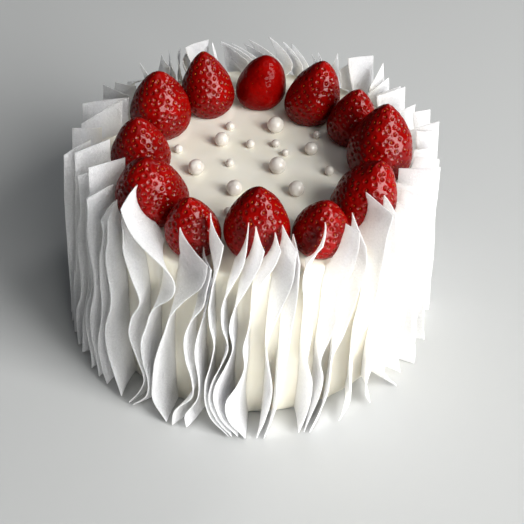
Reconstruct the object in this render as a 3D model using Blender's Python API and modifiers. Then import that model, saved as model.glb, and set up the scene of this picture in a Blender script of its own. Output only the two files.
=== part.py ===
"""Round frosted cake with a ring of strawberries, sugar pearls and upright wafer paper strips."""
import math
import random
from collections import namedtuple

import bmesh
import bpy
import numpy as np

MM = 0.001

# Frosted cake, lengths in millimetres
CORE_RADIUS = 80.0
CORE_HEIGHT = 94.0
CORE_STEPS = 72
RIM_ROUND = 2.0
FOOT_BEVEL = 1.0
ROUND_SHARE = 0.29
CLEARANCE = 0.35

# Wafer paper strips, lengths in millimetres and angles in degrees
STRIP_THICKNESS = 0.6
FOOT_RADIUS = 97.0
LEAN_IN = 8.5
LEAN_HEIGHT = 110.0
WAVE_LENGTH = 52.0
WAVE_FADE_START = 84.0
WAVE_FADE_SPAN = 20.0
WAVE_FADE = 0.6
SWING_START = 66.0
ROOT_START = 88.0
ROOT_FOLLOW = 0.15
BEND_POWER = 1.2
TURN_POWER = 1.3
SHORTEST_TURN = 6.0
FLARE_HEIGHT = 26.0
EDGE_STEP = 12.0
REACH_HEIGHT = 90.0
RIM_STEP_LOW = 94.8
RIM_STEP_HIGH = 98.0
ROW_HEIGHTS = (9.0, 18.0, 27.0, 36.0, 45.0, 54.0, 63.0, 72.0, 81.0, 90.0,
               RIM_STEP_LOW, RIM_STEP_HIGH, 105.0, 112.0)
ROW_MARGIN = 3.0
STRIP_COLUMNS = 2
SAMPLE_STEP = 3.0
SAMPLE_COUNT = 43
LEAST_GAP = 1.25
LEAST_ROOT_GAP = 1.5
SPREAD_ROUNDS = 120
BERRY_MARGIN = 1.2
STRIP_SEED = 11
FOOT_RANGE = (0.6, 2.6)

# The strips, anticlockwise from the left seen from above: azimuth, swing of the inner corner, height of
# the head, rise of the head's inner corner, width above the rim, and how far the head and the foot
# stand out
STRIPS = (
    (-151.0, -1.0, 118.0, 0.0, 17.5, -4.5, 0.0),
    (-144.0, -4.0, 108.0, 1.5, 17.5, 0.0, 0.0),
    (-135.5, -5.5, 108.0, 1.5, 17.5, 0.0, 0.0),
    (-124.8, -13.0, 109.0, 0.0, 17.5, 0.0, 0.0),
    (-120.3, -14.0, 119.0, 1.5, 17.5, 0.0, 0.0),
    (-115.0, 1.5, 106.0, 10.5, 17.5, 0.0, 0.0),
    (-106.8, 1.0, 104.0, 1.5, 17.5, 0.0, 0.0),
    (-100.5, -6.0, 118.0, 1.5, 17.5, 0.0, 0.0),
    (-96.6, 6.0, 117.0, 1.5, 17.5, 0.0, 0.0),
    (-93.2, 4.6, 116.0, 1.5, 17.5, 0.0, 0.0),
    (-89.0, 7.3, 116.0, -2.5, 17.5, 0.0, 0.0),
    (-84.0, 4.8, 115.0, 0.0, 17.5, 0.0, 0.0),
    (-79.8, 5.0, 108.0, 1.5, 17.5, 0.0, 0.0),
    (-72.2, 8.0, 115.0, 1.5, 17.5, 0.0, 0.0),
    (-66.5, 7.5, 117.0, -1.5, 9.0, 0.0, 0.0),
    (-59.5, 3.5, 107.0, 12.0, 17.5, 0.0, 0.0),
    (-50.0, 5.5, 117.0, 1.5, 17.5, 0.0, 0.0),
    (-42.5, 2.0, 116.5, 1.5, 11.0, 0.0, -1.0),
    (-34.5, 5.0, 110.0, 1.5, 17.5, -1.5, -3.0),
    (-23.5, 5.5, 112.5, -2.5, 18.5, 0.8, -3.0),
    (-12.5, 6.0, 106.0, 1.0, 17.5, -0.5, -2.0),
    (0.0, 6.0, 108.0, 2.0, 11.0, 0.5, 1.0),
    (6.5, 3.0, 113.0, -7.0, 16.0, 1.5, 0.5),
    (12.0, 4.0, 111.0, 0.0, 9.0, 1.0, 0.0),
    (25.5, 6.0, 109.0, 0.5, 18.0, 0.0, 0.0),
    (33.5, 1.0, 107.0, 0.0, 14.5, 0.0, 0.0),
    (38.0, 1.0, 107.0, -2.5, 15.5, 0.0, 0.0),
    (42.0, -1.5, 114.0, -8.0, 12.0, 0.0, 0.0),
    (46.0, 6.0, 115.0, 3.0, 15.0, 0.0, 0.0),
    (59.2, 0.0, 107.5, 1.0, 12.0, 0.0, 0.0),
    (67.0, -5.0, 102.0, 0.0, 17.5, 0.0, 0.0),
    (75.0, -6.0, 107.0, -3.0, 17.5, 0.0, 0.0),
    (80.5, -7.0, 109.5, -4.0, 17.5, 0.0, 0.0),
    (87.5, -6.5, 104.5, -1.0, 17.5, 0.0, 0.0),
    (92.5, -7.0, 105.0, -3.0, 17.5, 0.0, 0.0),
    (98.5, -6.5, 106.0, -3.0, 17.5, 0.0, 0.0),
    (109.0, 16.0, 109.0, 10.0, 18.0, 0.0, 0.0),
    (122.0, 4.0, 107.0, 2.0, 17.5, 0.0, 0.0),
    (132.0, -1.5, 106.5, 4.0, 17.5, 0.0, 0.0),
    (142.0, 2.0, 98.5, 12.0, 17.5, 0.0, 0.0),
    (149.0, 0.0, 103.0, 7.0, 17.5, 0.0, 0.0),
    (155.5, -2.0, 107.0, 0.5, 17.5, 0.0, 0.0),
    (167.5, -6.0, 110.0, 5.0, 23.0, -0.5, 0.0),
    (174.5, -5.0, 107.5, 12.5, 19.5, -4.0, 0.0),
    (181.0, 0.0, 110.0, 2.0, 14.5, -1.0, 0.0),
    (193.5, 1.0, 113.0, 6.0, 13.0, 2.5, 0.0),
    (198.5, 0.0, 116.5, 5.0, 16.5, -2.0, 0.0),
)

# Outer edges of the strips at the front, by the strip's number: azimuth at every EDGE_STEP of height
EDGES = {
    4: (-127.0, -123.0, -121.0, -123.5, -126.5, -125.5, -122.5, -125.5, -128.5, -128.5, -131.0),
    5: (-125.5, -120.5, -119.5, -121.5, -122.0, -120.0, -117.5, -111.5, -112.5, -124.5, -129.5),
    6: (-112.5, -117.5, -118.0, -117.5, -116.0, -114.0, -112.0, -107.5, -101.5, -100.5, -101.0),
    7: (-111.5, -110.5, -105.5, -105.5, -107.5, -108.0, -106.0, -102.0, -101.0, -101.0, -101.0),
    8: (-94.0, -99.5, -101.5, -101.5, -100.0, -99.0, -100.5, -101.0, -100.0, -98.0, -97.0),
    9: (-93.0, -98.0, -100.5, -99.5, -97.0, -95.0, -97.0, -97.0, -94.5, -91.5, -90.5),
    10: (-91.0, -96.5, -99.0, -98.5, -96.0, -94.0, -95.0, -93.5, -90.0, -87.0, -85.5),
    11: (-89.5, -94.5, -95.5, -92.5, -90.5, -91.0, -89.5, -88.5, -87.0, -83.0, -81.0),
    12: (-86.5, -84.5, -83.0, -82.5, -83.5, -84.5, -83.0, -80.5, -78.0, -77.0, -77.0),
    13: (-84.5, -82.5, -81.0, -81.0, -79.0, -78.0, -77.5, -76.5, -76.0, -76.0, -75.5),
    14: (-74.5, -72.5, -71.0, -71.0, -72.5, -72.0, -71.5, -73.5, -75.0, -73.5, -67.0),
    15: (-73.0, -71.0, -68.5, -67.5, -68.5, -66.0, -64.0, -64.0, -60.0, -58.0, -58.0),
    16: (-71.0, -68.5, -66.0, -65.5, -65.0, -61.5, -59.0, -57.0, -55.0, -55.5, -55.5),
    17: (-62.5, -58.5, -58.5, -59.0, -58.5, -53.0, -50.5, -49.5, -48.5, -47.5, -45.0),
    18: (-49.5, -52.0, -51.0, -47.0, -45.0, -44.0, -45.0, -45.5, -43.0, -44.0, -45.0),
}

# Outer edges of the other strips, in the strips' order: wave size, height of a wave's crest, swing of
# the upper part, height of the full swing, turn of the tip, and flare of the foot
WAVES = (
    (1.0, 50.0, -1.0, 100.0, 0.0, -2.0),
    (1.4, 60.0, -2.0, 100.0, -1.0, 3.0),
    (1.5, 62.0, 1.0, 95.0, -1.0, 6.0),
    (1.2, 45.0, 6.0, 100.0, 1.0, 0.5),
    (1.0, 60.0, 8.0, 104.0, 0.5, 0.0),
    (1.1, 48.0, 7.0, 100.0, 0.0, 0.0),
    (1.3, 66.0, 7.0, 102.0, 0.0, 1.0),
    (1.0, 50.0, 1.0, 100.0, 0.5, 0.0),
    (1.2, 52.0, 3.5, 102.0, 0.5, 1.0),
    (1.1, 45.0, 6.0, 102.0, 0.5, 0.0),
    (1.0, 58.0, 0.0, 100.0, 0.5, 0.0),
    (1.2, 50.0, 1.5, 101.0, 0.5, 1.0),
    (1.1, 66.0, 0.5, 100.0, 0.5, 0.0),
    (1.3, 56.0, 1.0, 104.0, 0.5, 0.0),
    (1.0, 50.0, 2.0, 100.0, 0.5, 0.0),
    (1.2, 58.0, 4.0, 98.0, 0.5, 0.0),
    (1.3, 50.0, 4.5, 100.0, 2.0, 0.0),
    (1.1, 56.0, 3.5, 100.0, 2.5, 0.0),
    (1.2, 48.0, 6.0, 100.0, 2.0, 0.0),
    (1.0, 60.0, 4.0, 99.0, 3.0, 0.0),
    (1.2, 46.0, 3.0, 100.0, 2.0, 0.0),
    (1.2, 52.0, -1.5, 104.0, 0.0, 0.0),
    (1.1, 58.0, -4.0, 107.0, 0.5, 0.0),
    (1.2, 50.0, -7.0, 106.0, 0.0, 0.0),
    (1.0, 56.0, -2.5, 100.0, 0.0, 0.0),
    (1.2, 48.0, -4.0, 103.0, 0.0, 0.0),
    (1.1, 60.0, -4.0, 107.0, 0.0, 0.0),
    (1.2, 52.0, -1.5, 104.0, 0.0, 0.0),
    (1.2, 58.0, 0.0, 104.0, 0.0, 0.0),
    (1.1, 46.0, -1.5, 104.0, 0.0, 0.0),
    (1.2, 62.0, 1.5, 104.0, 0.0, 0.0),
    (1.2, 54.0, -0.5, 104.0, 0.0, 0.0),
)

# Strawberries, clockwise from the left: base centre x and y, width, height, lean of the tip in x and
# y, and bluntness of the tip (lower is blunter)
STRAWBERRIES = (
    (-47.5, 24.4, 30.3, 33.7, -0.3, -0.3, 0.72),
    (-24.7, 42.7, 26.9, 33.2, -2.6, 1.8, 0.85),
    (1.0, 51.1, 25.9, 27.7, 3.3, -0.9, 0.60),
    (26.8, 39.5, 27.4, 32.5, 5.7, 1.1, 0.75),
    (47.1, 22.3, 24.4, 28.3, 2.5, 0.5, 0.75),
    (59.7, -3.5, 31.6, 38.2, 1.5, 2.0, 0.85),
    (49.4, -37.1, 30.0, 32.6, 6.9, -0.9, 0.75),
    (30.8, -58.9, 25.6, 26.6, 1.6, -1.0, 0.72),
    (2.8, -61.3, 29.5, 33.9, 0.3, 0.2, 0.75),
    (-25.2, -61.9, 25.3, 28.6, -1.7, -1.2, 0.78),
    (-45.1, -39.8, 33.3, 32.5, -2.3, -2.5, 0.70),
    (-53.7, -9.9, 27.9, 30.7, -0.9, -0.4, 0.70),
)
BERRY_SEGMENTS = 14
BERRY_RINGS = 10
BERRY_WIDEST = 0.28
BERRY_BASE_TAPER = 0.3
BERRY_BASE_POWER = 2.2
BERRY_TIP_POWER = 1.75
BERRY_LEAN_POWER = 1.3

# Sugar pearls: x, y and diameter
PEARLS = (
    (9.8, 26.1, 8.4),
    (-16.6, 13.2, 7.2),
    (27.7, 8.7, 6.7),
    (11.3, -6.4, 8.4),
    (-27.8, -9.9, 8.0),
    (-8.7, -24.3, 7.8),
    (20.5, -23.1, 7.8),
    (-13.0, 25.9, 4.5),
    (-2.3, 11.9, 4.4),
    (10.1, 13.1, 4.2),
    (15.0, 6.2, 3.7),
    (-37.5, 5.8, 4.4),
    (-11.8, -3.6, 4.1),
    (30.6, 21.4, 4.2),
    (36.4, -7.2, 4.8),
    (-11.0, -39.6, 4.1),
)
PEARL_SUNK = 0.10
PEARL_SEGMENTS = 10
PEARL_RINGS = 6

SMOOTH_ANGLE = math.radians(40.0)
MERGE_DISTANCE = 0.01 * MM

Strip = namedtuple("Strip", "azimuth root_swing head tilt width reach foot_reach foot")
Wave = namedtuple("Wave", "size crest swing swing_height turn flare")
Berry = namedtuple("Berry", "x y width height lean_x lean_y bluntness")
Pearl = namedtuple("Pearl", "x y diameter")


def clear_scene():
    """Remove every object that the file holds."""
    for old in list(bpy.data.objects):
        bpy.data.objects.remove(old, do_unlink=True)


def new_collection(name):
    """Make a collection under the scene's own."""
    collection = bpy.data.collections.new(name)
    bpy.context.scene.collection.children.link(collection)
    return collection


def new_material(name, colour, roughness):
    """Make a Principled BSDF material of one colour."""
    material = bpy.data.materials.new(name)
    material.use_nodes = True
    shader = material.node_tree.nodes["Principled BSDF"]
    shader.inputs["Base Color"].default_value = (*colour, 1.0)
    shader.inputs["Roughness"].default_value = roughness
    shader.inputs["Metallic"].default_value = 0.0
    material.diffuse_color = (*colour, 1.0)
    return material


def add_object(name, mesh, collection, material):
    """Link a mesh as an object of its own, with one material."""
    part = bpy.data.objects.new(name, mesh)
    part.data.materials.append(material)
    collection.objects.link(part)
    return part


def apply_modifiers(part):
    """Apply an object's modifiers, first to last."""
    bpy.context.view_layer.objects.active = part
    for modifier in list(part.modifiers):
        bpy.ops.object.modifier_apply(modifier=modifier.name)


def ease(value):
    """Rise smoothly from 0 to 1 between 0 and 1."""
    value = min(max(value, 0.0), 1.0)
    return value * value * (3.0 - 2.0 * value)


def berry_radius(berry, share):
    """Radius of a strawberry at a share of its height."""
    half = berry.width / 2
    if share <= 0.0 or share >= 1.0:
        return 0.0
    if share < BERRY_WIDEST:
        below = (BERRY_WIDEST - share) / BERRY_WIDEST
        return half * (1.0 - BERRY_BASE_TAPER * below ** BERRY_BASE_POWER)
    above = (share - BERRY_WIDEST) / (1.0 - BERRY_WIDEST)
    return half * (1.0 - above ** BERRY_TIP_POWER) ** berry.bluntness


def berry_centre(berry, share):
    """Offset of a strawberry's leaning centre line at a share of its height."""
    bend = max(share, 0.0) ** BERRY_LEAN_POWER
    return berry.lean_x * bend, berry.lean_y * bend


def clear_radius(azimuth, height, berries):
    """Least distance from the axis at which a ray at this azimuth is clear of every strawberry."""
    across = (math.cos(math.radians(azimuth)), math.sin(math.radians(azimuth)))
    clear = 0.0
    for berry in berries:
        share = (height - CORE_HEIGHT - CLEARANCE) / berry.height
        radius = berry_radius(berry, share)
        if radius == 0.0:
            continue
        lean_x, lean_y = berry_centre(berry, share)
        x = berry.x + lean_x
        y = berry.y + lean_y
        along = x * across[0] + y * across[1]
        aside = x * across[1] - y * across[0]
        reach = radius + BERRY_MARGIN
        if abs(aside) < reach and along > 0.0:
            clear = max(clear, along + math.sqrt(reach ** 2 - aside ** 2))
    return clear


def plan_strips():
    """List the strips in order of azimuth, their feet at heights drawn with a fixed seed."""
    draw = random.Random(STRIP_SEED)
    return [Strip(*row, foot=draw.uniform(*FOOT_RANGE)) for row in STRIPS]


def curve_azimuth(edge, height):
    """Azimuth on a smooth curve through an outer edge's azimuths."""
    place = min(height / EDGE_STEP, len(edge) - 1.0)
    row = min(int(place), len(edge) - 2)
    part = place - row
    low = edge[row]
    high = edge[row + 1]
    before = edge[max(row - 1, 0)]
    after = edge[min(row + 2, len(edge) - 1)]
    bow = (2.0 * before - 5.0 * low + 4.0 * high - after) * part ** 2
    twist = (3.0 * low - before - 3.0 * high + after) * part ** 3
    return low + ((high - before) * part + bow + twist) / 2.0


def wave_azimuth(strip, wave, height):
    """Azimuth of an outer edge that waves evenly and swings over near its head."""
    phase = 2.0 * math.pi * (height - wave.crest) / WAVE_LENGTH
    fade = 1.0 - WAVE_FADE * ease((height - WAVE_FADE_START) / WAVE_FADE_SPAN)
    azimuth = strip.azimuth + wave.size * math.cos(phase) * fade
    azimuth += wave.swing * ease((height - SWING_START) / (wave.swing_height - SWING_START))
    if height > wave.swing_height:
        span = max(strip.head - wave.swing_height, SHORTEST_TURN)
        azimuth += wave.turn * ((height - wave.swing_height) / span) ** TURN_POWER
    if height < FLARE_HEIGHT:
        azimuth += wave.flare * (1.0 - height / FLARE_HEIGHT) ** 2
    return azimuth


def outer_edges(strips, samples):
    """List every outer edge's azimuths at the sample heights, before neighbours push them."""
    waves = (Wave(*row) for row in WAVES)
    edges = []
    for number, strip in enumerate(strips, 1):
        if number in EDGES:
            edges.append([curve_azimuth(EDGES[number], height) for height in samples])
        else:
            wave = next(waves)
            edges.append([wave_azimuth(strip, wave, height) for height in samples])
    return np.array(edges)


def root_azimuth(strip, height):
    """Azimuth of a strip's inner edge, which stays put below the rim."""
    return strip.azimuth + strip.root_swing * ease((height - ROOT_START) / (strip.head - ROOT_START))


def spread(edges, least):
    """Push neighbouring edges apart until they are the least angle from each other at every height."""
    for _ in range(SPREAD_ROUNDS):
        following = np.roll(edges, -1, axis=0)
        following[-1] += 360.0
        push = 0.5 * np.maximum(0.0, least - (following - edges))
        edges = edges - push + np.roll(push, 1, axis=0)
        near = (push + np.roll(push, 1, axis=0)) > 0.0
        near[:, 1:] |= near[:, :-1].copy()
        near[:, :-1] |= near[:, 1:].copy()
        mean = edges.copy()
        mean[:, 1:-1] = (edges[:, :-2] + 2.0 * edges[:, 1:-1] + edges[:, 2:]) / 4.0
        edges = np.where(near, 0.5 * (edges + mean), edges)
    return edges


def strip_rows(strip):
    """Heights of a strip's rows of points, from its foot to its head."""
    top = strip.head + min(strip.tilt, 0.0) - ROW_MARGIN
    inner = [height for height in ROW_HEIGHTS if height < top]
    return [strip.foot, *inner, strip.head]


def strip_point(strip, outer, root, height, drop, share, berries):
    """Place a point of a strip by its height and its share of the width, turned to the strip's azimuth."""
    rise = ease(height / REACH_HEIGHT)
    stand = strip.foot_reach + (strip.reach - strip.foot_reach) * rise
    outer_radius = FOOT_RADIUS + stand - LEAN_IN * height / LEAN_HEIGHT
    inner_edge = root + ROOT_FOLLOW * (outer - root)
    if height <= RIM_STEP_LOW:
        inner_radius = CORE_RADIUS + CLEARANCE + STRIP_THICKNESS / 4
    else:
        inner_radius = max(outer_radius - strip.width, clear_radius(inner_edge, height - drop, berries))
    bend = ROOT_FOLLOW + (1.0 - ROOT_FOLLOW) * share ** BEND_POWER
    azimuth = math.radians(root + bend * (outer - root) - strip.azimuth)
    radius = inner_radius + share * (outer_radius - inner_radius)
    return radius * math.cos(azimuth), radius * math.sin(azimuth)


def build_strip(number, strip, outer_edge, root_edge, berries, collection, material):
    """Build one wafer paper strip as a bent grid with thickness."""
    heights = strip_rows(strip)
    samples = np.arange(SAMPLE_COUNT) * SAMPLE_STEP
    sheet = bmesh.new()
    bmesh.ops.create_grid(sheet, x_segments=STRIP_COLUMNS, y_segments=len(heights) - 1, size=1.0)
    for point in sheet.verts:
        share = (point.co.x + 1.0) / 2
        row = round((point.co.y + 1.0) / 2 * (len(heights) - 1))
        height = heights[row]
        outer = float(np.interp(height, samples, outer_edge))
        root = float(np.interp(height, samples, root_edge))
        tilt = strip.tilt if row == len(heights) - 1 else 0.0
        x, y = strip_point(strip, outer, root, height, max(-tilt, 0.0), share, berries)
        height += tilt * (1.0 - share)
        point.co = (x * MM, y * MM, height * MM)
    bmesh.ops.triangulate(sheet, faces=sheet.faces, quad_method="FIXED")
    mesh = bpy.data.meshes.new(f"wafer_strip_{number:02d}")
    sheet.to_mesh(mesh)
    sheet.free()
    part = add_object(mesh.name, mesh, collection, material)
    part.rotation_euler.z = math.radians(strip.azimuth)
    solidify = part.modifiers.new("Thickness", "SOLIDIFY")
    solidify.thickness = STRIP_THICKNESS * MM
    solidify.offset = 0.0
    part.data.shade_smooth()
    part.data.set_sharp_from_angle(angle=SMOOTH_ANGLE)
    return part


def build_strips(berries, collection, material):
    """Build the strips, clear of each other and of the strawberries."""
    strips = plan_strips()
    samples = np.arange(SAMPLE_COUNT) * SAMPLE_STEP
    outer = spread(outer_edges(strips, samples), LEAST_GAP)
    root = np.array([[root_azimuth(strip, height) for height in samples] for strip in strips])
    root = spread(root, LEAST_ROOT_GAP)
    for number, strip in enumerate(strips, 1):
        build_strip(number, strip, outer[number - 1], root[number - 1], berries, collection, material)


def build_berry(number, berry, collection, material):
    """Build one strawberry as a sphere drawn out to a leaning cone with a blunt tip."""
    shape = bmesh.new()
    bmesh.ops.create_uvsphere(shape, u_segments=BERRY_SEGMENTS, v_segments=BERRY_RINGS, radius=1.0)
    for point in shape.verts:
        share = (point.co.z + 1.0) / 2
        around = math.atan2(point.co.y, point.co.x)
        radius = berry_radius(berry, share)
        lean_x, lean_y = berry_centre(berry, share)
        point.co.x = (lean_x + radius * math.cos(around)) * MM
        point.co.y = (lean_y + radius * math.sin(around)) * MM
        point.co.z = share * berry.height * MM
    mesh = bpy.data.meshes.new(f"strawberry_{number:02d}")
    shape.to_mesh(mesh)
    shape.free()
    part = add_object(mesh.name, mesh, collection, material)
    part.location = (berry.x * MM, berry.y * MM, (CORE_HEIGHT + CLEARANCE) * MM)
    part.data.shade_smooth()
    return part


def core_profile():
    """Outline of the frosted cake, from the top's centre down its outer side to the foot's centre."""
    return (
        (0.0, CORE_HEIGHT),
        (CORE_RADIUS - RIM_ROUND, CORE_HEIGHT),
        (CORE_RADIUS - RIM_ROUND * ROUND_SHARE, CORE_HEIGHT - RIM_ROUND * ROUND_SHARE),
        (CORE_RADIUS, CORE_HEIGHT - RIM_ROUND),
        (CORE_RADIUS, FOOT_BEVEL),
        (CORE_RADIUS - FOOT_BEVEL, 0.0),
        (0.0, 0.0),
    )


def build_pearl(pearl, collection, material):
    """Build one sugar pearl, slightly sunk in the frosting."""
    ball = bmesh.new()
    bmesh.ops.create_uvsphere(
        ball, u_segments=PEARL_SEGMENTS, v_segments=PEARL_RINGS, radius=pearl.diameter / 2 * MM)
    mesh = bpy.data.meshes.new("pearl")
    ball.to_mesh(mesh)
    ball.free()
    part = add_object(mesh.name, mesh, collection, material)
    height = CORE_HEIGHT + pearl.diameter * (0.5 - PEARL_SUNK)
    part.location = (pearl.x * MM, pearl.y * MM, height * MM)
    part.hide_render = True
    part.display_type = "WIRE"


def build_core(collection, cutters, material):
    """Turn the frosted cake and join the pearls to its top."""
    profile = bmesh.new()
    points = [profile.verts.new((x * MM, 0.0, z * MM)) for x, z in core_profile()]
    for start, end in zip(points, points[1:]):
        profile.edges.new((start, end))
    mesh = bpy.data.meshes.new("frosted_core")
    profile.to_mesh(mesh)
    profile.free()
    part = add_object(mesh.name, mesh, collection, material)
    screw = part.modifiers.new("Turn", "SCREW")
    screw.steps = CORE_STEPS
    screw.render_steps = CORE_STEPS
    screw.use_merge_vertices = True
    screw.merge_threshold = MERGE_DISTANCE
    for row in PEARLS:
        build_pearl(Pearl(*row), cutters, material)
    union = part.modifiers.new("Pearls", "BOOLEAN")
    union.operation = "UNION"
    union.operand_type = "COLLECTION"
    union.collection = cutters
    apply_modifiers(part)
    for pearl in list(cutters.objects):
        bpy.data.objects.remove(pearl, do_unlink=True)
    part.data.shade_smooth()
    part.data.set_sharp_from_angle(angle=SMOOTH_ANGLE)
    return part


def main():
    """Build the whole cake."""
    clear_scene()
    collection = new_collection("strawberry_cake")
    cutters = new_collection("pearls")
    frosting = new_material("frosting", (0.80, 0.74, 0.63), 0.45)
    strawberry = new_material("strawberry", (0.45, 0.010, 0.012), 0.28)
    wafer = new_material("wafer", (0.86, 0.86, 0.84), 0.75)
    berries = [Berry(*row) for row in STRAWBERRIES]
    build_core(collection, cutters, frosting)
    for number, berry in enumerate(berries, 1):
        build_berry(number, berry, collection, strawberry)
    build_strips(berries, collection, wafer)


main()
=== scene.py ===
"""Looks of a frosted cake with strawberries, sugar pearls and upright wafer paper strips."""
import logging
import math
import random
from dataclasses import dataclass
from enum import Enum
from typing import Iterable, Sequence

import bpy
import numpy as np
from mathutils import Matrix, Vector, kdtree, noise


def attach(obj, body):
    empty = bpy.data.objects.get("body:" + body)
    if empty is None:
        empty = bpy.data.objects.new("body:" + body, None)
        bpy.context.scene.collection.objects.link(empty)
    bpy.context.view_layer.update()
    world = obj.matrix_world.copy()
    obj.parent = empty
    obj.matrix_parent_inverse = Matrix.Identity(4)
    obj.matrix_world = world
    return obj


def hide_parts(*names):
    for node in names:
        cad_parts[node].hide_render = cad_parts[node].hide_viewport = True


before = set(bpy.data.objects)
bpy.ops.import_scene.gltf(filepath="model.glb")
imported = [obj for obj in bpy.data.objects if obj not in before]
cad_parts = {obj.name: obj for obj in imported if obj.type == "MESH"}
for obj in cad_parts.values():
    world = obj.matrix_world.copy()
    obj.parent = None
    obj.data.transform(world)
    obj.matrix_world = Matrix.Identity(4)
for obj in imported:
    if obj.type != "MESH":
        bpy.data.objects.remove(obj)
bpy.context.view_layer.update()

LOG = logging.getLogger("strawberry_cake")
MM = 0.001
BODY = "root"
CAKE_HEIGHT = 94.0
GOLDEN_ANGLE = math.pi * (3.0 - math.sqrt(5.0))
Colour = tuple[float, float, float]
Place = tuple[float, float, float]


class Slot(Enum):
    """Material slots of the record."""

    FROSTING = "frosting"
    STRAWBERRY = "strawberry"
    WAFER = "wafer"


def deselect_all() -> None:
    """Leave object mode with nothing selected."""
    if bpy.context.object and bpy.context.object.mode != "OBJECT":
        bpy.ops.object.mode_set(mode="OBJECT")
    bpy.ops.object.select_all(action="DESELECT")


def make_active(piece: bpy.types.Object) -> None:
    """Select one piece alone and make it the active one.

    Args:
        piece: the piece.
    """
    deselect_all()
    piece.select_set(True)
    bpy.context.view_layer.objects.active = piece


def apply_all(piece: bpy.types.Object) -> None:
    """Apply a piece's modifiers, first to last.

    Args:
        piece: the piece that they shape.
    """
    make_active(piece)
    for modifier in list(piece.modifiers):
        bpy.ops.object.modifier_apply(modifier=modifier.name)


def read_points(mesh: bpy.types.Mesh) -> np.ndarray:
    """Read a mesh's points.

    Args:
        mesh: the mesh.

    Returns:
        Rows of x, y and z in metres.
    """
    flat = np.empty(len(mesh.vertices) * 3)
    mesh.vertices.foreach_get("co", flat)
    return flat.reshape(-1, 3)


def write_points(mesh: bpy.types.Mesh, points: np.ndarray) -> None:
    """Write rows of x, y and z back to a mesh."""
    mesh.vertices.foreach_set("co", points.reshape(-1))
    mesh.update()


def write_attribute(mesh: bpy.types.Mesh, name: str, values: Sequence[float]) -> None:
    """Store one number a point under a name that a material can read."""
    layer = mesh.attributes.new(name, "FLOAT", "POINT")
    layer.data.foreach_set("value", np.asarray(values, dtype=np.float32))


def rename(piece: bpy.types.Object, name: str) -> None:
    """Give a piece and its mesh one name."""
    piece.name = name
    piece.data.name = name


def new_object(name: str, data: bpy.types.ID) -> bpy.types.Object:
    """Put a new object with its mesh, light or camera in the scene.

    Args:
        name: the object's name.
        data: its mesh, light or camera.

    Returns:
        The object.
    """
    thing = bpy.data.objects.new(name, data)
    bpy.context.scene.collection.objects.link(thing)
    return thing


def new_sphere(segments: int, rings: int, radius: float = 1.0) -> bpy.types.Object:
    """Add a sphere round the origin.

    Args:
        segments: its faces round the axis.
        rings: its faces from pole to pole.
        radius: its radius.

    Returns:
        The sphere.
    """
    deselect_all()
    bpy.ops.mesh.primitive_uv_sphere_add(segments=segments, ring_count=rings, radius=radius)
    return bpy.context.object


def dress(piece: bpy.types.Object, material: bpy.types.Material) -> None:
    """Give a piece its one material."""
    piece.data.materials.clear()
    piece.data.materials.append(material)


def hand_over(piece: bpy.types.Object, nodes: Iterable[str] = ()) -> None:
    """Let a piece ride on the cake and stand for the solids it replaces.

    Args:
        piece: the finished piece.
        nodes: names of the solids that it stands for.
    """
    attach(piece, BODY)
    for node in nodes:
        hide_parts(node)
    LOG.info("%s: %d faces", piece.name, len(piece.data.polygons))


def join_all(pieces: Sequence[bpy.types.Object], name: str) -> bpy.types.Object:
    """Join pieces of one kind into a single piece.

    Args:
        pieces: the pieces.
        name: the joined piece's name.

    Returns:
        The joined piece.
    """
    deselect_all()
    for piece in pieces:
        piece.select_set(True)
    bpy.context.view_layer.objects.active = pieces[0]
    bpy.ops.object.join()
    rename(bpy.context.object, name)
    return bpy.context.object


def ease(value: float) -> float:
    """Rise smoothly from 0 to 1 between 0 and 1."""
    value = min(max(value, 0.0), 1.0)
    return value * value * (3.0 - 2.0 * value)


def set_inputs(node: bpy.types.Node, **values: object) -> None:
    """Set the defaults of a node's inputs, each by its name with _ for a space."""
    for name, value in values.items():
        node.inputs[name.replace("_", " ")].default_value = value


def new_material(name: str, **values: object) -> tuple[bpy.types.Material, bpy.types.Node]:
    """Make a material of one shader.

    Args:
        name: the material's name.
        values: defaults of the shader's inputs, by name with _ for a space.

    Returns:
        The material and its Principled shader.
    """
    material = bpy.data.materials.new(name)
    material.use_nodes = True
    shader = material.node_tree.nodes["Principled BSDF"]
    set_inputs(shader, **values)
    return material, shader


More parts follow.
